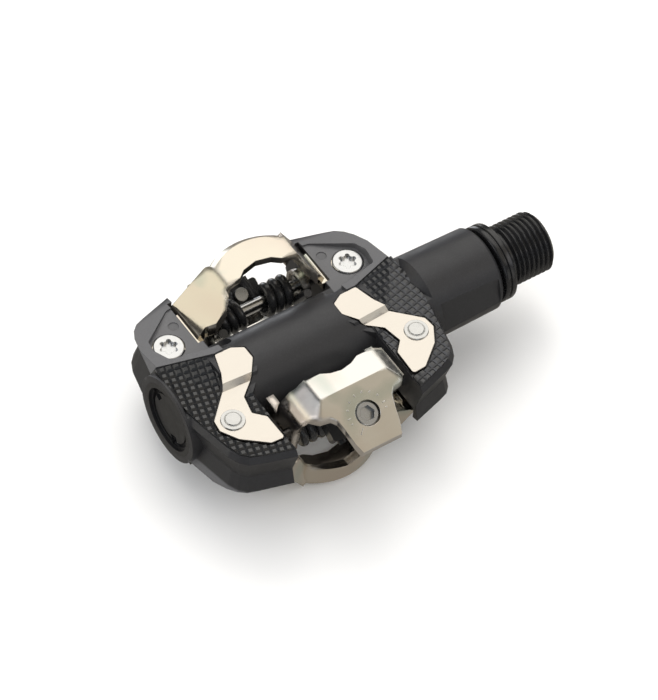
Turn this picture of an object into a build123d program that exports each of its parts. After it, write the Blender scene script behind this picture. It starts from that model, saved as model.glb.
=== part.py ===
from build123d import *
from math import cos, degrees, pi, radians, sin, sqrt
import os

# Left-hand, double-sided clipless pedal.
# Shapes are drawn about the pedal's middle and moved to the row frame at export:
# +X runs along the spindle to the crank, +Y is forward, +Z is up.
# In the row frame the origin lies on the spindle axis at the crank seating face.
# "dx" below is the distance along X from the pedal's middle.
# The top and the underside are the same shape, half a turn apart about X.

os.makedirs("parts", exist_ok=True)

# ---- driving dimensions, mm ----
Q_FACTOR = 53.0             # pedal's middle to the crank seating face
SHEET = 1.8                 # thickness of the bent steel claws
GAP = 0.02                  # clearance between pieces that touch

# Spindle
THREAD_R = 7.14             # 9/16 inch major diameter
THREAD_L = 11.6
FLANGE_R = 9.0
FLANGE_L = 3.0
JOURNAL_R = 6.0
JOURNAL_IN = 36.0           # dx where the journal ends and the taper starts
NECK_R = 4.2
SEAT_R = 3.5                # bearing seat
SEAT_X = -18.0              # dx of the bearing's inboard face
NUT_THREAD_R = 3.0
SPINDLE_END = -28.6
HEX_FLATS = 8.0
HEX_DEPTH = 8.0

# Outboard bearing, 7 x 14 x 5
BEARING_W = 5.0
BEARING_R = 7.0
PITCH_R = 5.25
BALL_R = 1.0
LAND = 0.5                  # from the pitch circle to each race
BALL_COUNT = 9

# Body
TUBE_R = 10.15
SLEEVE_R = 10.0             # sleeve where it leaves the wing; it tapers to its mouth
MOUTH_R = 9.7
SLEEVE_END = 49.0
BOSS_R = 10.1
BOSS_END = -31.3
WING_IN = 15.6              # dx of the wings' inner walls
RIM_Z = 6.2                 # height at which a wing is widest
WAIST_LEAN = 15.0           # degrees the flanks lean in from the rim to the waist
BEVEL_LEAN = 30.0           # degrees the flanks lean in above the rim
FLAT_TOP = 8.2              # height of the studs on the tread
STUD_H = 0.55               # the tread lies this far under the tips of its studs
CREST = (18.0, 3.4, 10.1)   # a point on the line where tread and shoulder meet
CREST_SLOPE = 0.377         # Y gained along that line for each step of X
MAIN_BORE_R = 6.3
CAP_R = 8.6
CAP_T = 1.1
CAP_RECESS_R = 7.4
CAP_RECESS = 0.7            # depth of the cap's recess
CAP_GROOVE = 1.5            # depth of the groove around the cap's middle
CAP_DISC_R = 5.9
CAP_NOTCHES = (-60, 161)    # where the two tool notches stand around the cap
PLUG_R = 7.2
ORING_R = 0.3
FOOT_NOTCH = 16.8           # dx of the notches that the arches' feet stand in

# Wear plates
PLATE_T = 1.2
PLATE_TOP = 8.35
TAB_TOP = 9.85              # the raised tab that the cleat rests on
JOGGLE = 1.7                # slope of the step from the plate up to the tab
RIVET = (23.1, -12.4)

# Fixed arches
ARCH_TOP = 16.9
ARCH_HALF = 8.7             # half width of the lip at the bends
BROW = 1.8                  # bevel along the lip's front edge
FOOT_DX = 16.5              # where the cheeks reach the feet
FOOT_TOP = 4.0
FOOT_END = 25.9
FOOT_Y = (11.3, 20.2)
SCREW = (22.8, 13.2)
HEAD_H = 0.9
POCKET_FLOOR = 4.6

# Sprung claws
LIP_TOP = 16.2
LIP_HALF = 8.2
LIP_BEND_Y = -22.1
PLATE_TILT = 30.7           # degrees below level
ARM_OUT = 13.3
PIVOT = (-16.2, -0.4)       # y and z of the top claw's pivot
PIN_R = 1.45
EYE_R = 3.6
PIN_HALF = 19.0

# Tension bolt: a point on its head and the way it runs, in Y and Z
HEAD_AT = (-27.8, 12.4)
BOLT_R = 1.5
BOLT_L = 15.6
HEAD_R = 2.65
HEAD_T = 1.4
HEX_KEY = 3.0
NUT_S = 10.0                # distance of the nut's near face from the head
NUT_T = 2.9

# Torsion springs
WIRE_R = 1.0
COIL_R = 2.85
COIL_PITCH = 2.15
COIL_TURNS = 3.25
COIL_START = 3.0
INNER_LEG = 6.8
OUTER_LEG = 6.5


def turned(shape):
    """The same piece on the underside: half a turn about the spindle."""
    return Rot(180, 0, 0) * shape


def mirrored(shape):
    """The same piece on the outboard side."""
    return mirror(shape, about=Plane.YZ)


def prism_x(points, lo, hi):
    """A Y-Z outline drawn out along X."""
    face = make_face(Polyline(*points, close=True))
    return Pos(lo, 0, 0) * extrude(Plane.YZ * face, hi - lo)


def prism_y(points, lo, hi):
    """An X-Z outline drawn out along Y."""
    face = make_face(Polyline(*points, close=True))
    return Pos(0, hi, 0) * extrude(Plane.XZ * face, hi - lo)


def prism_z(points, lo, hi, rounding=0.0):
    """An X-Y outline drawn out along Z, with its corners rounded."""
    face = make_face(Polyline(*points, close=True))
    if rounding:
        face = fillet(face.vertices(), rounding)
    return Pos(0, 0, lo) * extrude(face, hi - lo)


def rod(radius, lo, hi, y=0.0, z=0.0):
    """A cylinder along X."""
    return Pos((lo + hi) / 2, y, z) * Rot(0, 90, 0) * Cylinder(radius, hi - lo)


def turned_profile(points):
    """A solid of revolution about X from (x, radius) points."""
    face = make_face(Polyline(*points, close=True))
    return revolve(Plane.XY * face, Axis.X)


def below(point, normal):
    """Everything within 60 mm under a sloping plane."""
    return Plane(origin=point, z_dir=normal) * Pos(0, 0, -30) * Box(160, 160, 60)


def both_sides(shape):
    """A shape and its mirror image across the pedal's middle."""
    return shape + mirrored(shape)


def save(name, *solids):
    """Write one node in the row frame."""
    shape = solids[0] if len(solids) == 1 else Compound(list(solids))
    placed = Pos(-Q_FACTOR, 0, 0) * shape
    placed.label = name
    export_step(placed, f"parts/{name}.step")


# ---- spindle and its bearing ----

def spindle():
    end = Q_FACTOR + THREAD_L
    profile = [
        (SPINDLE_END, 0), (SPINDLE_END, NUT_THREAD_R - 0.5), (SPINDLE_END + 0.5, NUT_THREAD_R),
        (SEAT_X - BEARING_W + 0.2, NUT_THREAD_R), (SEAT_X - BEARING_W + 0.2, SEAT_R),
        (SEAT_X, SEAT_R), (SEAT_X, NECK_R), (JOURNAL_IN - 4, JOURNAL_R - 0.3), (JOURNAL_IN, JOURNAL_R),
        (Q_FACTOR - FLANGE_L - 1.1, JOURNAL_R), (Q_FACTOR - FLANGE_L - 1.1, JOURNAL_R + 1),
        (Q_FACTOR - FLANGE_L, JOURNAL_R + 1), (Q_FACTOR - FLANGE_L, FLANGE_R - 0.3),
        (Q_FACTOR - FLANGE_L + 0.3, FLANGE_R), (Q_FACTOR - 1.9, FLANGE_R), (Q_FACTOR - 1.75, FLANGE_R - 0.35),
        (Q_FACTOR - 1.45, FLANGE_R - 0.35), (Q_FACTOR - 1.3, FLANGE_R), (Q_FACTOR - 0.4, FLANGE_R),
        (Q_FACTOR, FLANGE_R - 0.4), (Q_FACTOR, THREAD_R), (end - 0.9, THREAD_R), (end, THREAD_R - 0.9), (end, 0),
    ]
    body = turned_profile(profile)
    socket = Plane.YZ * RegularPolygon(HEX_FLATS / 2, 6, major_radius=False)
    return body - Pos(end - HEX_DEPTH, 0, 0) * extrude(socket, HEX_DEPTH + 1)


def bearing_race(inner, outer):
    """One race of the bearing, with a groove for the balls."""
    lo = SEAT_X - BEARING_W
    ring = rod(outer, lo, SEAT_X) - rod(inner, lo - 1, SEAT_X + 1)
    groove = Pos(lo + BEARING_W / 2, 0, 0) * Rot(0, 90, 0) * Torus(PITCH_R, BALL_R + 0.04)
    return ring - groove


def ball_ring(radius, count):
    """Spheres around the bearing's pitch circle."""
    centre = SEAT_X - BEARING_W / 2
    angles = [2 * pi * i / count for i in range(count)]
    return [Pos(centre, PITCH_R * cos(a), PITCH_R * sin(a)) * Sphere(radius) for a in angles]


def ball_cage():
    centre = SEAT_X - BEARING_W / 2
    ring = rod(PITCH_R + 0.35, centre - 1.4, centre + 1.4) - rod(PITCH_R - 0.35, centre - 3, centre + 3)
    for ball in ball_ring(BALL_R + 0.05, BALL_COUNT):
        ring -= ball
    return ring


def bearing_shields():
    """Thin rings that close the bearing, let into the outer race's bore."""
    lo = SEAT_X - BEARING_W
    shields = []
    for x in (lo + 0.1, SEAT_X - 0.35):
        shields.append(rod(PITCH_R + LAND - GAP, x, x + 0.25) - rod(PITCH_R - LAND + 0.1, x - 1, x + 1))
    return shields


def lock_nut():
    lo = SPINDLE_END + 0.5
    hexagon = extrude(Plane.YZ * RegularPolygon(4.2, 6, major_radius=False), 3.6)
    return Pos(lo, 0, 0) * hexagon - rod(NUT_THREAD_R + GAP, lo - 1, lo + 5)


def tab_washer():
    hi = SEAT_X - BEARING_W - GAP
    return rod(4.5, hi - 0.8, hi) - rod(NUT_THREAD_R + GAP, hi - 2, hi + 1)


# ---- pedal body ----

def tread_space(drop=0.0, top=40.0):
    """Everything under the tread: a flat that ramps up towards the middle of the pedal."""
    flat = Pos(30, 0, FLAT_TOP - drop - 30) * Box(100, 100, 60)
    ramp = below((19.5, -6, FLAT_TOP - drop), (0.215, -0.1676, 1))
    cap = Pos(30, 0, top - 60) * Box(100, 100, 120)
    return (flat + ramp) & cap


def wing_plan():
    """Outline of a wing at its rim, run on inwards past the inner wall; the same front and rear."""
    rear = [
        (8.0, -28.4), (23.3, -23.6), (25.6, -22.7), (27.2, -21.0),
        (28.3, -18.6), (29.6, -12.4), (30.7, -7.0), (31.0, 0.0),
    ]
    front = [(x, -y) for x, y in reversed(rear[:-1])]
    return make_face(Polyline(*rear, *front, close=True))


def wing():
    """The inboard wing, as a solid block with a waist at mid height."""
    rim = wing_plan()
    above = Pos(0, 0, RIM_Z) * extrude(rim, 6, taper=BEVEL_LEAN)
    under = Pos(0, 0, RIM_Z) * Rot(180, 0, 0) * extrude(rim, RIM_Z, taper=WAIST_LEAN)
    block = above + under
    block += turned(block)
    block -= Pos(WING_IN - 50, 0, 0) * Box(100, 100, 100)
    x, y, z = CREST
    ends = [(40, y + (40 - x) * CREST_SLOPE), (0, y - x * CREST_SLOPE)]
    top = prism_z([(0, -40), (40, -40), *ends], -40, 40) & tread_space(STUD_H)
    top += prism_z([(0, 40), (40, 40), *ends], -40, 40) & below(CREST, (0.0517, 0.2892, 1))
    return block & top & turned(top)


def plate_plan(grow=0.0):
    """Outline of an inboard wear plate seen from above, with soft corners."""
    points = [
        (17.8, 3.2), (13.9, 3.1), (11.3, 1.7), (11.25, -1.5), (13.8, -5.0), (17.8, -8.4), (18.7, -12.8),
        (16.4, -15.2), (16.2, -21.6), (19.4, -21.4), (24.6, -17.2), (26.9, -13.4), (26.6, -10.6),
        (20.9, -4.9), (19.3, -1.8),
    ]
    face = fillet(make_face(Polyline(*points, close=True)).vertices(), 0.6)
    if grow:
        face = offset(face, grow)
    return face


def plate_space(drop):
    """Everything under the wear plates' upper skin, lowered by a distance."""
    flat = Pos(30, 0, PLATE_TOP - 30) * Box(100, 100, 60)
    raised = Pos(30, 0, TAB_TOP - 30) * Box(100, 100, 60)
    step = below((19, -5.2, PLATE_TOP), (0.06 * JOGGLE, -JOGGLE, 1))
    return Pos(0, 0, -drop) * (flat + (raised & step))


def wear_plate():
    column = extrude(plate_plan(), 30)
    plate = (column & plate_space(0)) - plate_space(PLATE_T)
    return plate - Pos(*RIVET, 8) * Cylinder(1.7, 20)


def plate_seat():
    """What is cut from a wing to let a wear plate in."""
    column = extrude(plate_plan(0.18), 30)
    return column - plate_space(PLATE_T + GAP)


def plate_pad():
    """The rise on the tube around a plate's tab."""
    tab = [(17.5, 4.0), (13.6, 4.0), (10.4, 2.2), (10.3, -2.0), (13.0, -5.9), (17.5, -10.2)]
    return prism_z(tab, 0, 30, 1.0) & plate_space(0.35)


def screw_pocket():
    """Pocket around a claw screw: a level floor with a ramp up to the crest of the shoulder."""
    plan = [(12, 4.6), (17, 5.4), (25.8, 7.8), (27.0, 12.6), (26.3, 15.8), (18.2, 21.8), (12, 22.6)]
    floor = below((17, 14, POCKET_FLOOR), (0, 0.03, 1))
    ramp = below((SCREW[0], 9.6, POCKET_FLOOR), (-0.3, 1.05, 1))
    mark = Pos(18.9, 17.6, POCKET_FLOOR) * Cylinder(1.15, 0.6)
    return prism_z(plan, 0, 30, 1.2) - floor - ramp + mark


def claw_foot_slot():
    """Slot and notch in a wing that take a fixed arch's foot."""
    slot = Pos(0, 0, FOOT_TOP - SHEET / 2) * Box(2 * FOOT_END + 0.1, 2 * FOOT_Y[1] + 0.1, SHEET + 2 * GAP)
    slot -= Pos(0, FOOT_Y[0] - 0.05 - 50, 0) * Box(100, 100, 20)
    notch = Pos(FOOT_NOTCH - 2.5, 17.3, 12) * Box(5, 12.6, 21)
    return slot + notch


def hub_outline():
    """Outside of the sleeve and the outboard boss, with necks that meet the treads."""
    neck = FLAT_TOP - STUD_H + 0.2
    sleeve = turned_profile([
        (27, 0), (27, neck), (29.6, neck), (31.4, SLEEVE_R), (SLEEVE_END, MOUTH_R), (SLEEVE_END, 0),
    ])
    boss = turned_profile([
        (BOSS_END, 0), (BOSS_END, BOSS_R), (BOSS_END + 0.6, BOSS_R), (BOSS_END + 1.9, neck), (-26, neck),
        (-26, 0),
    ])
    core = rod(SLEEVE_R, 27, 31.4) + rod(BOSS_R, BOSS_END, -26)
    return sleeve + boss + (core & Box(100, 40, 2 * neck - 0.6))


def pedal_body():
    half = rod(TUBE_R, 0, WING_IN + 4) + wing() + plate_pad() + turned(plate_pad())
    cuts = plate_seat() + screw_pocket() + claw_foot_slot()
    half -= cuts + turned(cuts)
    x, y = SCREW
    for side in (lambda s: s, turned):
        half -= side(Pos(x, y, 6) * Cylinder(3.6, 4.2))
        half -= side(Pos(x, y, 0.6) * Cylinder(2.02, 6))
        half -= side(Pos(*RIVET, 6.6) * Cylinder(1.62, 6))
        half -= side(rod(PIN_R, 0, PIN_HALF + GAP, *PIVOT))
    body = both_sides(half) + hub_outline()
    body -= rod(MAIN_BORE_R, -30, 33) + rod(7.0, 32, 50) + rod(8.2, SLEEVE_END - 3.5, 60)
    body -= rod(BEARING_R, -40, SEAT_X) + rod(PLUG_R + GAP, -40, SEAT_X - BEARING_W - 2)
    body -= rod(CAP_R + GAP, BOSS_END - 5, BOSS_END + CAP_T + GAP)
    flat = Pos(40.3, -SLEEVE_R * cos(radians(24)) - 5, 0) * Box(15, 10, 30)
    body -= Rot(-14, 0, 0) * flat
    body -= turned(Rot(-14, 0, 0) * flat)
    rim = body.edges().filter_by(GeomType.CIRCLE)
    rim = rim.filter_by(lambda e: abs(e.center().X - SLEEVE_END) < 0.01 and e.radius > 9)
    return chamfer(rim, 0.7)


def end_cap():
    face_x = BOSS_END
    cap = rod(CAP_R, face_x, face_x + CAP_T) + rod(PLUG_R, face_x, SEAT_X - BEARING_W - 2.1)
    cap -= rod(CAP_RECESS_R, face_x - 1, face_x + CAP_RECESS)
    cap -= rod(CAP_RECESS_R - 0.6, face_x, face_x + CAP_GROOVE) - rod(CAP_DISC_R, face_x - 1, face_x + 3)
    cap -= rod(6.0, face_x + 2.2, face_x + 12)
    cap -= rod(9, face_x + 1.9, face_x + 2.6) - rod(PLUG_R - 2 * ORING_R - 0.05, face_x, face_x + 6)
    for angle in CAP_NOTCHES:
        cap -= Rot(angle, 0, 0) * Pos(face_x + CAP_RECESS, 0, CAP_DISC_R) * Box(1.8, 2.2, 2.8)
    return cap


def end_cap_oring():
    return Pos(BOSS_END + 2.25, 0, 0) * Rot(0, 90, 0) * Torus(PLUG_R - ORING_R - GAP, ORING_R)


def glide_bush():
    return rod(6.98, 33.5, 44.8) - rod(JOURNAL_R + 0.04, 30, 50)


def lip_seal():
    lo = SLEEVE_END - 3.4
    seal = rod(8.18, lo, SLEEVE_END - 0.3) - rod(JOURNAL_R + 0.08, lo - 1, SLEEVE_END + 1)
    return seal - (rod(7.4, lo + 1, SLEEVE_END + 1) - rod(6.9, lo, SLEEVE_END + 2))


def rivet():
    """Rivet through a wear plate: flat ring, a groove and a domed middle."""
    profile = [(0, 3.7), (1.6, 3.7), (1.6, PLATE_TOP), (2.7, PLATE_TOP + GAP), (2.6, PLATE_TOP + 0.3)]
    profile += [(1.9, PLATE_TOP + 0.35), (1.8, PLATE_TOP + 0.15), (1.6, PLATE_TOP + 0.55), (0, PLATE_TOP + 0.75)]
    turned_head = revolve(Plane.XZ * make_face(Polyline(*profile, close=True)), Axis.Z)
    return Pos(*RIVET, 0) * turned_head


# ---- fixed arches ----

def front_claw():
    """Bent steel arch at the front: a lip over the cleat, two cheeks and two feet."""
    slope = (ARCH_TOP - FOOT_TOP) / (FOOT_DX - ARCH_HALF)
    reach = SHEET * (sqrt(1 + slope * slope) - 1) / slope
    skin = [(-FOOT_DX - 0.3, FOOT_TOP - 1), (-ARCH_HALF, ARCH_TOP), (ARCH_HALF, ARCH_TOP), (FOOT_DX + 0.3, FOOT_TOP - 1)]
    inner = [
        (-FOOT_DX - 0.3 + SHEET * 1.14, 0), (-FOOT_DX - 0.3 + SHEET * 1.14, FOOT_TOP - 1),
        (-ARCH_HALF + reach, ARCH_TOP - SHEET), (ARCH_HALF - reach, ARCH_TOP - SHEET),
        (FOOT_DX + 0.3 - SHEET * 1.14, FOOT_TOP - 1), (FOOT_DX + 0.3 - SHEET * 1.14, 0),
    ]
    throat = [
        (ARCH_HALF, 20.2), (17.5, 23.3), (17.5, 12.4), (14.4, 12.2), (12.9, 10.2), (10.6, 10.0), (9.4, 11.2),
        (9.2, 12.7), (5.2, 13.3), (3.4, 14.7), (0, 15.5), (-3.4, 14.7), (-5.2, 13.3), (-9.2, 12.7), (-9.4, 11.2),
        (-10.6, 10.0), (-12.9, 10.2), (-14.4, 12.2), (-17.5, 12.4), (-17.5, 23.3), (-ARCH_HALF, 20.2),
    ]
    brow_line = ThreePointArc(throat[-1], (0, 23.1), throat[0])
    plan = extrude(make_face(Polyline(*throat) + brow_line), 30)
    block = prism_y(skin, 0, 40) & plan
    brow = block.edges().filter_by(lambda e: e.center().Z > ARCH_TOP - 0.01 and e.center().Y > 20)
    block = chamfer(brow, BROW)
    core_plan = [(-17, 40), (-17, -5), (17, -5), (17, 40)]
    core = prism_y(inner, 0, 23.1 - SHEET) & prism_z(core_plan, -5, 30)
    back = [(-9.2, 18.6), (-6.3, 20.4), (0, 21.2), (6.3, 20.4), (9.2, 18.6), (17.5, 24), (17.5, 0), (-17.5, 0), (-17.5, 24)]
    shell = block - (core & prism_z(back, -5, 30))
    below_skirt = [(-13, 0), (-8.2, 9.6), (0, 11.4), (8.2, 9.6), (13, 0)]
    shell -= prism_y(below_skirt, 17.5, 30)
    shell -= Pos(0, 16, 0) * Box(60, 40, 2 * (FOOT_TOP - SHEET))
    wide = FOOT_END - FOOT_DX + 1.4
    deep = FOOT_Y[1] - FOOT_Y[0]
    feet = Pos(FOOT_END - wide / 2, FOOT_Y[0] + deep / 2, FOOT_TOP - SHEET / 2) * Box(wide, deep, SHEET)
    feet -= Pos(*SCREW, 3) * Cylinder(2.1, 10)
    return shell + both_sides(feet)


def claw_screw():
    """Button-headed screw with a six-lobed recess, through an arch's foot."""
    shank = Pos(0, 0, 1.2) * Cylinder(2.0, 6.2)
    head = Pos(0, 0, FOOT_TOP + GAP + HEAD_H / 2) * Cylinder(3.4, HEAD_H)
    head = fillet(head.edges().group_by(Axis.Z)[-1], 0.35)
    recess = Pos(0, 0, FOOT_TOP + HEAD_H) * Cylinder(1.55, 1.7)
    for i in range(6):
        recess += Rot(0, 0, 60 * i) * Pos(1.6, 0, FOOT_TOP + HEAD_H) * Cylinder(0.5, 1.7)
    return Pos(*SCREW, 0) * (shank + head - recess)


# ---- sprung claws ----

def bent_front():
    """Outline of the bent sheet seen from the rear: level lip, two bends on each side."""
    corner = [(-LIP_HALF, LIP_TOP), (-11.8, 13.4), (-ARM_OUT, 8.4), (-ARM_OUT, -12)]
    points = corner + [(-x, z) for x, z in reversed(corner)]
    face = make_face(Polyline(*points, close=True))
    for radius, height in ((1.2, LIP_TOP), (2.2, 13.4), (5.0, 8.4)):
        face = fillet([v for v in face.vertices() if abs(v.Y - height) < 0.01], radius)
    return Plane.XZ * face


def rear_claw():
    """Sprung claw: a level lip, a sloping bolt plate, two cheeks and two arms on the pivot pin."""
    fall = sin(radians(PLATE_TILT)) / cos(radians(PLATE_TILT))
    tail_y = -34.0
    tail_z = LIP_TOP + fall * (tail_y - LIP_BEND_Y)
    side = [(-10, LIP_TOP), (LIP_BEND_Y, LIP_TOP), (tail_y, tail_z), (tail_y + 0.4, tail_z - 1.9), (-34, -6), (-10, -6)]
    inner_side = [
        (-9, LIP_TOP - SHEET), (LIP_BEND_Y + 0.5, LIP_TOP - SHEET), (-40, LIP_TOP - 2.1 + fall * (-40 - LIP_BEND_Y)),
        (-40, -7), (-9, -7),
    ]
    front = bent_front()
    hollow = offset(front, -SHEET, kind=Kind.INTERSECTION)
    shell = prism_x(side, -20, 20) & extrude(front, 45)
    shell -= prism_x(inner_side, -20, 20) & extrude(hollow, 50)
    eye_y, eye_z = PIVOT
    cheek = [
        (-16.0, 30), (-16.0, LIP_TOP - 1.5), (-14.4, 9.4), (-14.1, 6.2), (-13.4, 6.0), (-12.8, 6.7),
        (-9.9, 6.6), (-9.2, 6.1), (-9.4, 5.1), (-10.6, 3.4), (-11.6, 1.6), (eye_y + EYE_R, eye_z),
        (eye_y, eye_z - 1), (eye_y - EYE_R, eye_z), (-20.6, 5.5), (-21.4, 8.2), (-23.6, 12.2), (-26, 12.2), (-45, 0),
        (-45, 30),
    ]
    keep = prism_x(cheek, -20, 20) + rod(EYE_R, -20, 20, eye_y, eye_z)
    plan = [
        (14, -8.6), (14, -21.4), (10.2, -25.4), (8.0, -25.8), (6.9, -26.8), (6.2, -29), (5.6, -32), (4.7, -34.4),
        (-4.7, -34.4), (-5.6, -32), (-6.2, -29), (-6.9, -26.8), (-8.0, -25.8), (-10.2, -25.4), (-14, -21.4),
        (-14, -8.6), (-8.8, -8.6), (-8.2, -16.4), (-4.6, -16.4), (-2.6, -17.4), (0, -17.9), (2.6, -17.4),
        (4.6, -16.4), (8.2, -16.4), (8.8, -8.6),
    ]
    claw = shell & keep & prism_z(plan, -10, 30)
    claw -= rod(PIN_R + 0.05, -20, 20, eye_y, eye_z)
    claw += along_bolt(Cylinder(HEAD_R + 1.2, 2.8), 1.2)
    claw -= along_bolt(Cylinder(HEAD_R + 0.15, 8), HEAD_T - 4)
    return claw - along_bolt(Cylinder(BOLT_R + 0.06, 8), HEAD_T)


def along_bolt(shape, distance):
    """Stand a shape on the bolt's line, its own Z along the bolt."""
    fall = radians(PLATE_TILT)
    y = HEAD_AT[0] + distance * sin(fall)
    z = HEAD_AT[1] - distance * cos(fall)
    return Pos(0, y, z) * Rot(degrees(pi + fall), 0, 0) * shape


def tension_bolt():
    head = Pos(0, 0, HEAD_T / 2) * Cylinder(HEAD_R, HEAD_T)
    head = chamfer(head.edges().group_by(Axis.Z)[0], 0.3)
    shank = Pos(0, 0, (HEAD_T + BOLT_L) / 2) * Cylinder(BOLT_R, BOLT_L - HEAD_T)
    socket = extrude(RegularPolygon(HEX_KEY / 2, 6, major_radius=False), HEAD_T - 0.3)
    return along_bolt(head + shank - socket, 0)


def tension_nut():
    block = Box(11.0, 5.0, NUT_T)
    block = fillet(block.edges().filter_by(Axis.Z), 0.8)
    block -= Cylinder(BOLT_R + 0.05, 10)
    return along_bolt(block, NUT_S + NUT_T / 2)


def pivot_pin():
    pin = rod(PIN_R - GAP, -PIN_HALF, PIN_HALF)
    ends = pin.edges().filter_by(GeomType.CIRCLE)
    return Pos(0, *PIVOT) * chamfer(ends, 0.3)


def torsion_spring():
    """Two coils on the pivot pin; inner legs bear on the nut, outer legs on the tube."""
    length = COIL_TURNS * COIL_PITCH
    helix = Helix(pitch=COIL_PITCH, height=length, radius=COIL_R)
    inner_leg = Line(helix @ 0 - (helix % 0) * INNER_LEG, helix @ 0)
    outer_leg = Line(helix @ 1, helix @ 1 + (helix % 1) * OUTER_LEG)
    start = Plane(origin=inner_leg @ 0, z_dir=inner_leg % 0)
    wire = Wire([inner_leg.edge(), helix.edge(), outer_leg.edge()])
    wound = sweep(start * Circle(WIRE_R), path=wire, is_frenet=True)
    placed = Pos(-COIL_START, *PIVOT) * Rot(PLATE_TILT, 0, 0) * Rot(0, -90, 0) * wound
    return [placed, mirrored(placed)]


save("spindle", spindle())
save("bearing_inner_race", bearing_race(SEAT_R + GAP, PITCH_R - LAND))
save("bearing_outer_race", bearing_race(PITCH_R + LAND, BEARING_R - GAP))
save("bearing_balls", *ball_ring(BALL_R, BALL_COUNT))
save("ball_cage", ball_cage())
save("bearing_shields", *bearing_shields())
save("tab_washer", tab_washer())
save("lock_nut", lock_nut())
save("pedal_body", pedal_body())
save("end_cap", end_cap())
save("end_cap_oring", end_cap_oring())
save("glide_bush", glide_bush())
save("lip_seal", lip_seal())
save("wear_plate_top_inboard", wear_plate())
save("wear_plate_top_outboard", mirrored(wear_plate()))
save("wear_plate_bottom_inboard", turned(wear_plate()))
save("wear_plate_bottom_outboard", turned(mirrored(wear_plate())))
rivets = [rivet(), mirrored(rivet())]
save("plate_rivets", *rivets, *[turned(r) for r in rivets])
screws = [claw_screw(), mirrored(claw_screw())]
save("claw_screws", *screws, *[turned(s) for s in screws])
for place, side in (("top", lambda shape: shape), ("bottom", turned)):
    save(f"front_claw_{place}", side(front_claw()))
    save(f"rear_claw_{place}", side(rear_claw()))
    save(f"tension_bolt_{place}", side(tension_bolt()))
    save(f"tension_nut_{place}", side(tension_nut()))
    save(f"pivot_pin_{place}", side(pivot_pin()))
    save(f"torsion_spring_{place}", *[side(s) for s in torsion_spring()])
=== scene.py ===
from math import cos, pi, radians, sin, tan

import bpy
import bmesh
from mathutils import Matrix, Vector


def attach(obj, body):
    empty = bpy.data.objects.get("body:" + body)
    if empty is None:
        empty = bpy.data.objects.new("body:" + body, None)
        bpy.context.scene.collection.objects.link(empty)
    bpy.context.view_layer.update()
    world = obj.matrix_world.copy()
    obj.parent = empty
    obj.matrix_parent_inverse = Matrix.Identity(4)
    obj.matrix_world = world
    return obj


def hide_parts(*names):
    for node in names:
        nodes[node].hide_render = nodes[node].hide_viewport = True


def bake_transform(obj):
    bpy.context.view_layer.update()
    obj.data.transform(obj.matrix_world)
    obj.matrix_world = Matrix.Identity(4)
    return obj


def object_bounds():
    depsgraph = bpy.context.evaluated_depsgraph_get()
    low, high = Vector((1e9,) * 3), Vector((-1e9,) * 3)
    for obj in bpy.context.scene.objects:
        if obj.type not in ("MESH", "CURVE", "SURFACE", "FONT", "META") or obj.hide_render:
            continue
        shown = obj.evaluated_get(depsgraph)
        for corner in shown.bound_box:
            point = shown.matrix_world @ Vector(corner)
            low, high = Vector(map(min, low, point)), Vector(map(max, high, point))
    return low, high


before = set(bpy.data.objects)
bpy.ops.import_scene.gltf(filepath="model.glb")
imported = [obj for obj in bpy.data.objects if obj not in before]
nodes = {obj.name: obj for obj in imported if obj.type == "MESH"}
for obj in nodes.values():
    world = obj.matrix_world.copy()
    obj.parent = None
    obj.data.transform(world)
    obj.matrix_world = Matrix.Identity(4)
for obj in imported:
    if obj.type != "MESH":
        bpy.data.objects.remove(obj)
cad_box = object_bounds()
scene = bpy.context.scene

MM = 0.001
MID = -53.0                 # the pedal's middle, along X
FLAT_TOP = 8.2              # knurl tips
KNURL_H = 0.33
KNURL_TIP = 0.5             # width of a knurl's flat tip over its foot
THREAD_R = 7.14
THREAD_L = 11.6
THREAD_PITCH = 1.27
THREAD_DEPTH = 0.74
HEX_FLATS = 8.0             # socket in the spindle's end
HEX_DEPTH = 8.0
CREST = (18.0, 3.4)         # a point on the line where tread and shoulder meet
CREST_SLOPE = 0.377
PLATE_TILT = radians(30.7)
HEAD_AT = (-27.8, 12.4)     # bolt head, y and z
LIP_BEND = (-22.1, 16.2)    # where the claw's lip meets its bolt plate, y and z
PIVOT = (-16.2, -0.4)
SIDES = ("inboard", "outboard")
PLACES = ("top", "bottom")


# ---------------------------------------------------------------- node helpers

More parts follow.
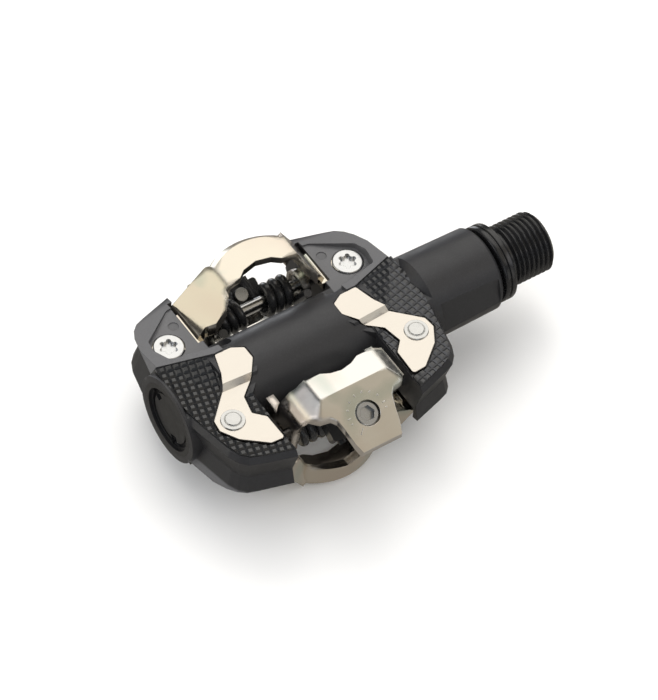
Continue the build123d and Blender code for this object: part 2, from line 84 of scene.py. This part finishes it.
class Shader:
    """A Principled material with a few chainable details."""

    def __init__(self, name, colour, rough, metal=0.0):
        self.mat = bpy.data.materials.new(name)
        self.mat.use_nodes = True
        self.tree = self.mat.node_tree
        self.bsdf = self.tree.nodes["Principled BSDF"]
        self.bsdf.inputs["Base Color"].default_value = (*colour, 1)
        self.bsdf.inputs["Roughness"].default_value = rough
        self.bsdf.inputs["Metallic"].default_value = metal
        self.colour = colour
        self.rough = rough
        self.coords = self.node("ShaderNodeTexCoord").outputs["Object"]
        self.normal = None

    def node(self, kind, **props):
        made = self.tree.nodes.new(kind)
        for key, value in props.items():
            setattr(made, key, value)
        return made

    def link(self, a, b):
        self.tree.links.new(a, b)

    def stretch(self, scale, turn=(0, 0, 0)):
        mapping = self.node("ShaderNodeMapping")
        mapping.inputs["Scale"].default_value = scale
        mapping.inputs["Rotation"].default_value = turn
        self.link(self.coords, mapping.inputs["Vector"])
        return mapping.outputs["Vector"]

    def noise(self, scale, detail=3.0, rough=0.55, coords=None):
        tex = self.node("ShaderNodeTexNoise")
        tex.inputs["Scale"].default_value = scale
        tex.inputs["Detail"].default_value = detail
        tex.inputs["Roughness"].default_value = rough
        self.link(coords or self.coords, tex.inputs["Vector"])
        return tex.outputs["Fac"]

    def ramp(self, value, lo, hi, to_lo=0.0, to_hi=1.0):
        found = self.node("ShaderNodeMapRange")
        found.inputs["From Min"].default_value = lo
        found.inputs["From Max"].default_value = hi
        found.inputs["To Min"].default_value = to_lo
        found.inputs["To Max"].default_value = to_hi
        self.link(value, found.inputs["Value"])
        return found.outputs["Result"]

    def math(self, operation, a, b):
        made = self.node("ShaderNodeMath", operation=operation)
        for socket, value in zip(made.inputs, (a, b)):
            if isinstance(value, (int, float)):
                socket.default_value = value
            else:
                self.link(value, socket)
        return made.outputs["Value"]

    def mix(self, fac, a, b):
        made = self.node("ShaderNodeMix", data_type="RGBA")
        self.link(fac, made.inputs["Factor"])
        for key, value in (("A", a), ("B", b)):
            socket = [s for s in made.inputs if s.name == key and s.type == "RGBA"][0]
            if isinstance(value, tuple):
                socket.default_value = (*value, 1)
            else:
                self.link(value, socket)
        return [s for s in made.outputs if s.type == "RGBA"][0]

    def paint(self, fac, colour):
        """Blend the base colour towards another by a mask."""
        socket = self.bsdf.inputs["Base Color"]
        under = socket.links[0].from_socket if socket.links else self.colour
        self.link(self.mix(fac, under, colour), socket)
        return self

    def roughen(self, fac, spread):
        """Vary roughness about its mean with a 0 to 1 mask."""
        socket = self.bsdf.inputs["Roughness"]
        wanted = self.ramp(fac, 0.3, 0.7, max(self.rough - spread, 0.02), min(self.rough + spread, 1.0))
        self.link(wanted, socket)
        return self

    def soften(self, radius_mm):
        """Rounded-looking edges."""
        bevel = self.node("ShaderNodeBevel", samples=4)
        bevel.inputs["Radius"].default_value = radius_mm * MM
        self.normal = bevel.outputs["Normal"]
        self.link(self.normal, self.bsdf.inputs["Normal"])
        return self

    def round_bend(self, across_mm, reach_mm, radius_mm):
        """A larger radius where the sheet is bent, at a distance either side of the pedal's middle."""
        parts = self.node("ShaderNodeSeparateXYZ")
        self.link(self.coords, parts.inputs["Vector"])
        across = self.math("ABSOLUTE", self.math("SUBTRACT", parts.outputs["X"], MID * MM), 0)
        away = self.math("ABSOLUTE", self.math("SUBTRACT", across, across_mm * MM), 0)
        bevel = self.normal.node
        edge = bevel.inputs["Radius"].default_value
        wanted = self.ramp(away, reach_mm * MM, 0.4 * reach_mm * MM, edge, radius_mm * MM)
        self.link(wanted, bevel.inputs["Radius"])
        return self

    def bump(self, height, strength, distance_mm):
        made = self.node("ShaderNodeBump")
        made.inputs["Strength"].default_value = strength
        made.inputs["Distance"].default_value = distance_mm * MM
        self.link(height, made.inputs["Height"])
        if self.normal is not None:
            self.link(self.normal, made.inputs["Normal"])
        self.normal = made.outputs["Normal"]
        self.link(self.normal, self.bsdf.inputs["Normal"])
        return self

    def set(self, **sockets):
        for key, value in sockets.items():
            self.bsdf.inputs[key.replace("_", " ")].default_value = value
        return self


def dress(names, shader):
    """Give CAD nodes or pieces one material."""
    for name in names:
        obj = nodes.get(name) or bpy.data.objects[name]
        obj.data.materials.clear()
        obj.data.materials.append(shader.mat)


# ---------------------------------------------------------------- mesh helpers

def mesh_object(name, verts, faces, smooth_angle=None):
    """A mesh object from points in mm in the row frame."""
    mesh = bpy.data.meshes.new(name)
    mesh.from_pydata([(x * MM, y * MM, z * MM) for x, y, z in verts], [], faces)
    mesh.validate()
    obj = bpy.data.objects.new(name, mesh)
    scene.collection.objects.link(obj)
    if smooth_angle:
        mesh.shade_smooth()
        mesh.set_sharp_from_angle(angle=radians(smooth_angle))
    return obj


def face_outwards(obj, weld=False):
    """Make every face look outwards, and join points that coincide if asked."""
    bm = bmesh.new()
    bm.from_mesh(obj.data)
    if weld:
        bmesh.ops.remove_doubles(bm, verts=bm.verts, dist=1e-7)
    bmesh.ops.recalc_face_normals(bm, faces=bm.faces)
    bm.to_mesh(obj.data)
    bm.free()


def piece(obj, body, slot, *stood_for):
    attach(obj, body)
    if stood_for:
        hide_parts(*stood_for)
    return obj


def apply_modifiers(obj):
    bpy.context.view_layer.update()
    evaluated = obj.evaluated_get(bpy.context.evaluated_depsgraph_get())
    made = bpy.data.meshes.new_from_object(evaluated)
    obj.modifiers.clear()
    obj.data = made


def cut(obj, cutter, operation="DIFFERENCE"):
    mod = obj.modifiers.new("cut", "BOOLEAN")
    mod.operation = operation
    mod.solver = "EXACT"
    mod.object = cutter
    apply_modifiers(obj)
    bpy.data.objects.remove(cutter)


def prism_faces(n):
    """Faces of a prism whose points are one n-sided end and then the other."""
    ends = [tuple(reversed(range(n))), tuple(range(n, 2 * n))]
    return ends + [(k, (k + 1) % n, (k + 1) % n + n, k + n) for k in range(n)]


def rings_to_faces(count, sides):
    """Quads between rings of points that follow one another."""
    faces = []
    for i in range(count - 1):
        for k in range(sides):
            a, b = i * sides + k, i * sides + (k + 1) % sides
            faces.append((a, b, b + sides, a + sides))
    return faces


def tube(name, points, radius, sides=16):
    """A closed round tube along points, with frames carried along it."""
    pts = [Vector(p) for p in points]
    tangents = []
    for i, p in enumerate(pts):
        a = pts[max(i - 1, 0)]
        b = pts[min(i + 1, len(pts) - 1)]
        tangents.append((b - a).normalized())
    side = tangents[0].orthogonal().normalized()
    verts = []
    for p, t in zip(pts, tangents):
        side = (side - t * side.dot(t)).normalized()
        up = t.cross(side)
        for k in range(sides):
            a = 2 * pi * k / sides
            verts.append(tuple(p + (side * cos(a) + up * sin(a)) * radius))
    faces = rings_to_faces(len(pts), sides)
    faces.append(tuple(reversed(range(sides))))
    faces.append(tuple(range((len(pts) - 1) * sides, len(pts) * sides)))
    return mesh_object(name, verts, faces, 50)


def turn_point(p):
    """The same point on the underside."""
    return (p[0], -p[1], -p[2])


def on_side(points, place):
    return [turn_point(p) for p in points] if place == "bottom" else list(points)


# ---------------------------------------------------------------- spindle

def thread_radius(x, angle):
    """Left-hand thread, cut from the major radius down."""
    phase = (x / THREAD_PITCH + angle / (2 * pi)) % 1.0
    ridge = abs(2 * phase - 1)
    ridge = min(max((ridge - 0.1) / 0.74, 0.0), 1.0)
    grown = min(max((x - 1.25) / 0.7, 0.0), 1.0)
    r = THREAD_R - THREAD_DEPTH * (1 - ridge * grown)
    end = THREAD_L - x
    return min(r, THREAD_R - 1.0 + max(end, 0.0) * 1.1)


def build_spindle():
    """Turned axle with its journals, seal land and grooved flange, then the thread, then the hex socket."""
    sides = 96
    thread_start, step = 0.2, 0.09
    profile = [
        (-81.6, 0.0), (-81.6, 2.5), (-81.1, 3.0), (-75.8, 3.0), (-75.8, 3.5), (-71.0, 3.5), (-71.0, 4.2),
        (-21.0, 5.7), (-17.0, 6.0), (-4.1, 6.0), (-4.1, 7.0), (-3.0, 7.0), (-3.0, 8.6), (-2.9, 8.85),
        (-2.7, 9.0), (-1.95, 9.0), (-1.85, 8.9), (-1.8, 8.62), (-1.4, 8.62), (-1.35, 8.9), (-1.25, 9.0),
        (-0.5, 9.0), (-0.2, 8.92), (-0.02, 8.7), (0.0, 8.45), (0.0, 6.7), (0.1, 6.42),
    ]
    rings = [(x, lambda a, r=r: r) for x, r in profile]
    steps = int((THREAD_L - thread_start) / step)
    for i in range(steps + 1):
        x = thread_start + (THREAD_L - thread_start) * i / steps
        rings.append((x, lambda a, x=x: thread_radius(x, a)))
    verts = []
    for x, radius in rings:
        for k in range(sides):
            a = 2 * pi * k / sides
            r = radius(a)
            verts.append((x, r * cos(a), r * sin(a)))
    faces = rings_to_faces(len(rings), sides)
    faces.append(tuple(range((len(rings) - 1) * sides, len(rings) * sides)))
    obj = mesh_object("spindle_axle", verts, faces)
    face_outwards(obj, weld=True)
    across = HEX_FLATS / 2 / cos(pi / 6)
    ring = [(across * cos(pi / 6 + k * pi / 3), across * sin(pi / 6 + k * pi / 3)) for k in range(6)]
    ends = (THREAD_L - HEX_DEPTH, THREAD_L + 1)
    cutter = mesh_object("hex_cutter", [(x, y, z) for x in ends for y, z in ring], prism_faces(6))
    cut(obj, cutter)
    obj.data.shade_smooth()
    obj.data.set_sharp_from_angle(angle=radians(38))
    piece(obj, "spindle", "black_steel", "spindle")


# ---------------------------------------------------------------- knurl

PLATE_PLAN = [
    (17.8, 3.2), (13.9, 3.1), (11.3, 1.7), (11.25, -1.5), (13.8, -5.0), (17.8, -8.4), (18.7, -12.8),
    (16.4, -15.2), (16.2, -21.6), (19.4, -21.4), (24.6, -17.2), (26.9, -13.4), (26.6, -10.6), (20.9, -4.9),
    (19.3, -1.8),
]
TREAD_PLAN = [
    (15.75, -25.0), (19.0, -24.0), (22.6, -22.9), (24.9, -21.9), (26.5, -20.3), (27.6, -16.9), (28.8, -11.6),
    (29.9, -6.0), (30.2, 0.0), (30.0, 7.6), (15.75, 2.25),
]


RAMP_FOOT = (19.5, -6)
RAMP_SLOPES = (0.215, 0.1676)
KNURL_PITCH = 1.58
KNURL_TURN = radians(14)    # how far the rows are turned from the spindle


def offset_plan(points, by):
    """A polygon grown outwards by a distance (points run either way)."""
    area = sum(a[0] * b[1] - b[0] * a[1] for a, b in zip(points, points[1:] + points[:1]))
    way = 1 if area > 0 else -1
    moved = []
    count = len(points)
    for i in range(count):
        p0, p1, p2 = points[i - 1], points[i], points[(i + 1) % count]
        d1 = Vector((p1[0] - p0[0], p1[1] - p0[1])).normalized()
        d2 = Vector((p2[0] - p1[0], p2[1] - p1[1])).normalized()
        n1 = Vector((d1.y, -d1.x)) * way
        n2 = Vector((d2.y, -d2.x)) * way
        n = (n1 + n2).normalized()
        scale = by / max(n.dot(n1), 0.5)
        moved.append((p1[0] + n.x * scale, p1[1] + n.y * scale))
    return moved


def ramp_height(x, y):
    """How far the tread rises over the flat at a point."""
    along, across = RAMP_SLOPES
    return max(0.0, -(along * (x - RAMP_FOOT[0]) - across * (y - RAMP_FOOT[1])))


def prism(name, plan, lo, hi):
    """An upright prism on a plan."""
    obj = mesh_object(name, [(x, y, z) for z in (lo, hi) for x, y in plan], prism_faces(len(plan)))
    face_outwards(obj)
    return obj


def build_knurl():
    """Rows of small square pyramids over the tread, around each wear plate."""
    u = Vector((cos(KNURL_TURN), sin(KNURL_TURN))) * KNURL_PITCH
    v = Vector((-sin(KNURL_TURN), cos(KNURL_TURN))) * KNURL_PITCH
    base = FLAT_TOP - KNURL_H
    count = 22
    origin = Vector((22.0, -9.0))
    verts, faces, ids = [], [], {}

    def corner(i, j):
        key = (i, j)
        if key not in ids:
            p = origin + u * i + v * j
            ids[key] = len(verts)
            verts.append((p.x, p.y, base + 0.02 + ramp_height(p.x, p.y)))
        return ids[key]

    for i in range(-count, count):
        for j in range(-count, count):
            quad = [corner(i, j), corner(i + 1, j), corner(i + 1, j + 1), corner(i, j + 1)]
            middle = origin + u * (i + 0.5) + v * (j + 0.5)
            tip = []
            for k in range(4):
                x, y, z = verts[quad[k]]
                q = middle + (Vector((x, y)) - middle) * KNURL_TIP
                tip.append(len(verts))
                verts.append((q.x, q.y, FLAT_TOP + ramp_height(q.x, q.y)))
            faces.append(tuple(tip))
            for k in range(4):
                faces.append((quad[k], quad[(k + 1) % 4], tip[(k + 1) % 4], tip[k]))
    under, skirt = {}, []
    for i in range(-count, count + 1):
        for j in range(-count, count + 1):
            if abs(i) == count or abs(j) == count:
                x, y, z = verts[corner(i, j)]
                under[(i, j)] = len(verts)
                verts.append((x, y, base - 1.0))
    rim = [(i, -count) for i in range(-count, count)] + [(count, j) for j in range(-count, count)]
    rim += [(i, count) for i in range(count, -count, -1)] + [(-count, j) for j in range(count, -count, -1)]
    for a, b in zip(rim, rim[1:] + rim[:1]):
        skirt.append((corner(*a), under[a], under[b], corner(*b)))
    faces += skirt
    faces.append(tuple(under[k] for k in reversed(rim)))
    field = mesh_object("knurl_field", verts, faces)
    face_outwards(field)
    region = prism("knurl_region", TREAD_PLAN, base - 0.4, base + 6)
    hole = prism("knurl_hole", offset_plan(PLATE_PLAN, 0.45), base - 2, base + 8)
    cut(region, hole)
    cut(field, region, "INTERSECT")
    source = [tuple(c / MM for c in vert.co) for vert in field.data.vertices]
    polys = [tuple(p.vertices) for p in field.data.polygons]
    for place in PLACES:
        for side in SIDES:
            flip = -1 if side == "outboard" else 1
            pts = on_side([(x * flip + MID, y, z) for x, y, z in source], place)
            order = polys if flip == 1 else [tuple(reversed(p)) for p in polys]
            pad = mesh_object(f"knurl_{place}_{side}", pts, order)
            piece(pad, "pedal_body", "composite")
    bpy.data.objects.remove(field)


# ---------------------------------------------------------------- springs

WIRE_R, COIL_R, COIL_PITCH, COIL_TURNS, COIL_START = 1.0, 2.85, 2.15, 3.25, 3.0
INNER_LEG, OUTER_LEG = 6.8, 6.5


def spring_path():
    """Inner leg, coil and outer leg of one coil; Z runs along the pin, away from the pedal's middle."""
    height = COIL_TURNS * COIL_PITCH
    n = int(COIL_TURNS * 40)

    def at(t):
        a = 2 * pi * COIL_TURNS * t
        return Vector((COIL_R * cos(a), COIL_R * sin(a), height * t))

    def way(t):
        a = 2 * pi * COIL_TURNS * t
        return Vector((-COIL_R * sin(a), COIL_R * cos(a), COIL_PITCH / (2 * pi))).normalized()

    first = [at(0) - way(0) * (INNER_LEG * (1 - k / 6)) for k in range(6)]
    coil = [at(k / n) for k in range(n + 1)]
    last = [at(1) + way(1) * (OUTER_LEG * (k + 1) / 6) for k in range(6)]
    return first + coil + last


def build_springs():
    """Two coils on each pivot pin, as fixed tubes at rest (the real claw winds them up as it opens)."""
    for place in PLACES:
        for side, flip in (("outboard", 1), ("inboard", -1)):
            points = []
            for p in spring_path():
                q = Matrix.Rotation(radians(-90), 3, "Y") @ p
                q = Matrix.Rotation(PLATE_TILT, 3, "X") @ q
                x, y, z = -COIL_START + q.x, PIVOT[0] + q.y, PIVOT[1] + q.z
                points.append((x * flip + MID, y, z))
            points = on_side(points, place)
            obj = tube(f"spring_{place}_{side}", points, WIRE_R)
            y, z = (PIVOT[0], PIVOT[1]) if place == "top" else (-PIVOT[0], -PIVOT[1])
            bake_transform(obj)
        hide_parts(f"torsion_spring_{place}")


# ---------------------------------------------------------------- claw marks

def on_plate(u, v, lift=0.0):
    """A point on the bolt plate: u across, v up the slope, from the bolt's middle."""
    y = HEAD_AT[0] + v * cos(PLATE_TILT) - lift * sin(PLATE_TILT)
    run = HEAD_AT[0] - LIP_BEND[0] + v * cos(PLATE_TILT)
    z = LIP_BEND[1] + run * tan(PLATE_TILT) + lift * cos(PLATE_TILT)
    return (MID + u, y, z)


def build_marks():
    """Small raised ticks of the tension scale around each bolt."""
    scale_r = 4.35
    for place in PLACES:
        verts, faces = [], []

        def tick(radius, angle, length, width, height=0.09):
            a = radians(angle)
            out = Vector((cos(a), sin(a)))
            across = Vector((-sin(a), cos(a)))
            start = len(verts)
            for lift, shrink in ((-0.05, 1.0), (height, 0.72)):
                for s, t in ((-1, -1), (1, -1), (1, 1), (-1, 1)):
                    p = out * (radius + s * length / 2 * shrink) + across * (t * width / 2 * shrink)
                    verts.append(on_plate(p.x, p.y, lift))
            faces.extend(tuple(start + k for k in face) for face in prism_faces(4))

        for angle, length, width in (
            (176, 0.9, 0.34), (152, 0.55, 0.4), (128, 0.55, 0.4), (104, 0.55, 0.42), (80, 0.55, 0.42),
            (56, 0.55, 0.4), (32, 0.55, 0.4), (6, 0.9, 0.34), (192, 0.5, 0.3), (-10, 0.5, 0.3),
            (226, 1.7, 0.26),
        ):
            tick(scale_r, angle, length, width)
        pts = on_side(verts, place)
        obj = mesh_object(f"tension_scale_{place}", pts, faces)
        piece(obj, f"claw_{place}", "rear_claw_nickel")


# ---------------------------------------------------------------- materials

def composite():
    """Glass-filled nylon, near black and satin; the shoulders ahead of the treads are lighter and grainy."""
    s = Shader("composite_black", (0.022, 0.022, 0.024), 0.4)
    parts = s.node("ShaderNodeSeparateXYZ")
    s.link(s.coords, parts.inputs["Vector"])
    across = s.math("ABSOLUTE", s.math("SUBTRACT", parts.outputs["X"], MID * MM), 0)
    forward = s.math("MULTIPLY", parts.outputs["Y"], s.math("SIGN", parts.outputs["Z"], 0))
    beyond = s.math("SUBTRACT", across, CREST[0] * MM)
    crest = s.math("ADD", s.math("MULTIPLY", beyond, CREST_SLOPE), CREST[1] * MM)
    ahead = s.ramp(s.math("SUBTRACT", forward, crest), -0.05 * MM, 0.15 * MM)
    on_wing = s.ramp(across, 15.5 * MM, 15.7 * MM)
    off_hub = s.ramp(across, 31.4 * MM, 31.2 * MM)
    upper = s.ramp(s.math("ABSOLUTE", parts.outputs["Z"], 0), 3.9 * MM, 4.4 * MM)
    shoulder = s.math("MULTIPLY", s.math("MULTIPLY", ahead, upper), s.math("MULTIPLY", on_wing, off_hub))
    s.soften(0.2)
    s.paint(shoulder, (0.11, 0.11, 0.115))
    s.paint(s.ramp(s.noise(4200, 2), 0.5, 0.75, 0, 0.4), (0.05, 0.05, 0.053))
    coarse = s.math("MULTIPLY", s.noise(2400, 4), s.math("ADD", s.math("MULTIPLY", shoulder, 0.8), 0.2))
    s.roughen(s.noise(300, 3), 0.06)
    s.bump(coarse, 0.4, 0.06)
    return s


def knurl_composite():
    """The same nylon, burnished on the knurl's crisp facets."""
    s = Shader("composite_knurl", (0.010, 0.0105, 0.012), 0.28)
    s.set(Specular_IOR_Level=1.0)
    s.roughen(s.noise(700, 3), 0.05)
    s.bump(s.noise(2400, 3), 0.12, 0.03)
    return s


def nickel(name, colour, rough, bend=None):
    """Plated spring steel, polished, with faint rolling marks and haze."""
    s = Shader(name, colour, rough, 1.0)
    s.soften(0.16)
    if bend:
        s.round_bend(*bend)
        s.paint(s.ramp(s.noise(70, 1), 0.42, 0.62, 0, 0.45), (0.78, 0.66, 0.58))
        s.paint(s.ramp(s.noise(110, 1), 0.55, 0.68, 0, 0.5), (0.52, 0.62, 0.56))
    streaks = s.noise(900, 3, coords=s.stretch((0.15, 1, 1)))
    s.roughen(streaks, 0.04)
    s.bump(s.noise(1800, 2), 0.05, 0.02)
    s.bump(s.noise(160, 2), 0.05, 0.15)
    return s


def steel(name, colour, rough):
    """Plain or zinc-plated steel with a fine grain."""
    s = Shader(name, colour, rough, 1.0)
    s.soften(0.1)
    s.roughen(s.noise(1200, 3), 0.06)
    s.bump(s.noise(2400, 3), 0.08, 0.02)
    return s


def dark_metal(name, colour, rough):
    """Blackened steel under a thin film of oil."""
    s = Shader(name, colour, rough, 0.0)
    s.soften(0.12)
    s.set(Coat_Weight=0.35, Coat_Roughness=0.12)
    s.roughen(s.noise(900, 3), 0.06)
    s.bump(s.noise(2200, 3), 0.06, 0.02)
    return s


def polymer(name, colour, rough):
    """Moulded plastic or rubber."""
    s = Shader(name, colour, rough)
    s.soften(0.15)
    s.roughen(s.noise(700, 3), 0.06)
    s.bump(s.noise(3000, 3), 0.12, 0.03)
    return s


def build_materials():
    def each(pattern):
        return [pattern.format(place, side) for place in PLACES for side in SIDES]

    dress(["pedal_body"], composite())
    dress(each("knurl_{}_{}"), knurl_composite())
    dress(["spindle_axle"], dark_metal("black_oxide", (0.012, 0.012, 0.013), 0.24))
    plate = nickel("nickel_plate", (0.82, 0.77, 0.70), 0.2)
    dress(each("wear_plate_{}_{}"), plate)
    arch = nickel("nickel_front", (0.84, 0.78, 0.67), 0.13, bend=(8.7, 3.4, 1.7))
    dress(["front_claw_top", "front_claw_bottom"], arch)
    claw = nickel("nickel_rear", (0.92, 0.90, 0.86), 0.12, bend=(12.0, 6.0, 1.6))
    dress(["rear_claw_top", "rear_claw_bottom"], claw)
    dress(["tension_scale_top", "tension_scale_bottom"], steel("scale_nickel", (0.93, 0.91, 0.87), 0.42))
    dress(["plate_rivets"], steel("rivet_steel", (0.72, 0.72, 0.71), 0.25))
    dress(["claw_screws"], steel("screw_zinc", (0.82, 0.83, 0.84), 0.28))
    dress(["tension_bolt_top", "tension_bolt_bottom"], steel("bolt_zinc", (0.55, 0.56, 0.57), 0.3))
    dress(["tension_nut_top", "tension_nut_bottom"], dark_metal("nut_black", (0.02, 0.02, 0.02), 0.35))
    dress(["pivot_pin_top", "pivot_pin_bottom"], steel("pin_steel", (0.6, 0.6, 0.6), 0.22))
    dress(each("spring_{}_{}"), dark_metal("spring_black", (0.02, 0.02, 0.021), 0.25))
    dress(["end_cap"], polymer("cap_polymer", (0.012, 0.012, 0.013), 0.38))
    dress(["glide_bush"], polymer("bush_polymer", (0.35, 0.34, 0.3), 0.5))
    dress(["lip_seal", "end_cap_oring"], polymer("seal_rubber", (0.01, 0.01, 0.01), 0.55))
    dress(["ball_cage"], polymer("cage_polymer", (0.4, 0.33, 0.2), 0.45))
    bearing = steel("bearing_steel", (0.7, 0.7, 0.71), 0.12)
    dress(["bearing_inner_race", "bearing_outer_race", "bearing_balls", "bearing_shields"], bearing)
    dress(["tab_washer", "lock_nut"], steel("zinc_steel", (0.6, 0.6, 0.58), 0.3))


# ---------------------------------------------------------------- set, light, camera

def build_floor():
    """A pale floor just under the pedal, kept out of reflections: the world stands in for it there."""
    low = cad_box[0].z - 0.0003
    size = 6.0
    corners = [(-size, -size, low), (size, -size, low), (size, size, low), (-size, size, low)]
    mesh = bpy.data.meshes.new("floor")
    mesh.from_pydata(corners, [], [(0, 1, 2, 3)])
    floor = bpy.data.objects.new("floor", mesh)
    scene.collection.objects.link(floor)
    s = Shader("floor_pale", (0.9, 0.9, 0.9), 0.7)
    s.roughen(s.noise(40, 2), 0.05)
    mesh.materials.append(s.mat)
    floor.visible_glossy = False


def build_world():
    """Soft studio surroundings: pale panels on a dim surround, and a dim table below."""
    world = bpy.data.worlds.new("studio")
    scene.world = world
    world.use_nodes = True
    tree = world.node_tree
    tree.nodes.clear()
    new, link = tree.nodes.new, tree.links.new
    coords = new("ShaderNodeTexCoord").outputs["Generated"]
    total = None
    ambient = (0.05, 0.055, 0.058)
    # Each panel: its direction, the cosines where it fades in and is full, and its colour.
    panels = [
        ((0.373, 0.491, 0.787), 0.78, 0.92, (1.14, 1.10, 1.03)),         # level faces
        ((0.373, -0.456, 0.808), 0.84, 0.95, (0.41, 0.36, 0.28)),        # bolt plates
        ((-0.871, 0.491, 0.02), 0.86, 0.96, (0.86, 0.82, 0.70)),         # outboard cheeks
        ((0, 0, -1), 0.02, 0.25, (0.22, 0.20, 0.17)),                    # the table
        ((0.868, 0.491, 0.07), 0.95, 0.985, (0.95, 0.92, 0.84)),         # inboard cheeks
        ((-0.35, -0.85, 0.30), 0.93, 0.985, (0.5, 0.53, 0.56)),          # rear edges
        ((-0.786, 0.202, 0.587), 0.94, 0.98, (1.5, 1.5, 1.55)),          # knurl, outboard facets
        ((0.643, -0.589, 0.493), 0.94, 0.98, (0.8, 0.8, 0.85)),          # knurl, rear facets
        ((0.209, 0.959, -0.187), 0.955, 0.985, (1.6, 1.65, 1.75)),       # knurl, front facets
        ((0.373, -0.913, 0.03), 0.95, 0.985, (0.6, 0.58, 0.54)),         # steps of the wear plates
    ]
    for direction, edge, full, colour in panels:
        dot = new("ShaderNodeVectorMath")
        dot.operation = "DOT_PRODUCT"
        dot.inputs[1].default_value = Vector(direction).normalized()
        link(coords, dot.inputs[0])
        fade = new("ShaderNodeMapRange")
        fade.interpolation_type = "SMOOTHSTEP"
        fade.inputs["From Min"].default_value = edge
        fade.inputs["From Max"].default_value = full
        link(dot.outputs["Value"], fade.inputs["Value"])
        tint = new("ShaderNodeVectorMath")
        tint.operation = "SCALE"
        tint.inputs[0].default_value = colour
        link(fade.outputs["Result"], tint.inputs["Scale"])
        add = new("ShaderNodeVectorMath")
        add.operation = "ADD"
        if total is None:
            add.inputs[1].default_value = ambient
        else:
            link(total, add.inputs[1])
        link(tint.outputs["Vector"], add.inputs[0])
        total = add.outputs["Vector"]
    background = new("ShaderNodeBackground")
    link(total, background.inputs["Color"])
    output = new("ShaderNodeOutputWorld")
    link(background.outputs["Background"], output.inputs["Surface"])


def area_light(name, place, target, size, power, colour):
    """A square soft light, kept out of reflections."""
    data = bpy.data.lights.new(name, "AREA")
    data.shape = "SQUARE"
    data.size = size
    data.energy = power
    data.color = colour
    obj = bpy.data.objects.new(name, data)
    scene.collection.objects.link(obj)
    obj.location = place
    obj.rotation_mode = "QUATERNION"
    obj.rotation_quaternion = (Vector(target) - Vector(place)).to_track_quat("-Z", "Y")
    obj.visible_glossy = False


def build_camera():
    """A long lens, high behind the pedal's outboard end."""
    data = bpy.data.cameras.new("camera")
    data.lens = 192.6
    data.sensor_fit = "AUTO"
    data.sensor_width = 36
    data.clip_start, data.clip_end = 0.01, 20
    cam = bpy.data.objects.new("camera", data)
    scene.collection.objects.link(cam)
    right, up, back = (0.8334, -0.5502, 0.0517), (0.4076, 0.6752, 0.6148), (-0.3732, -0.4913, 0.7870)
    cam.rotation_mode = "QUATERNION"
    cam.rotation_quaternion = Matrix((right, up, back)).transposed().to_quaternion()
    cam.location = (-0.3441, -0.3961, 0.6312)
    scene.camera = cam


build_camera()
build_world()
build_floor()
scene.view_settings.view_transform = "Standard"
middle = (MID * MM, 0, 0)
area_light("sky", (-0.053, 0.1, 1.4), middle, 4.5, 62.0, (1.0, 1.0, 1.0))
area_light("key", (0.15, 0.55, 0.75), middle, 0.5, 2.0, (1.0, 0.97, 0.92))
area_light("fill", (-0.75, -0.25, 0.45), middle, 0.6, 1.2, (0.96, 0.98, 1.0))
build_spindle()
build_knurl()
build_springs()
build_marks()
build_materials()
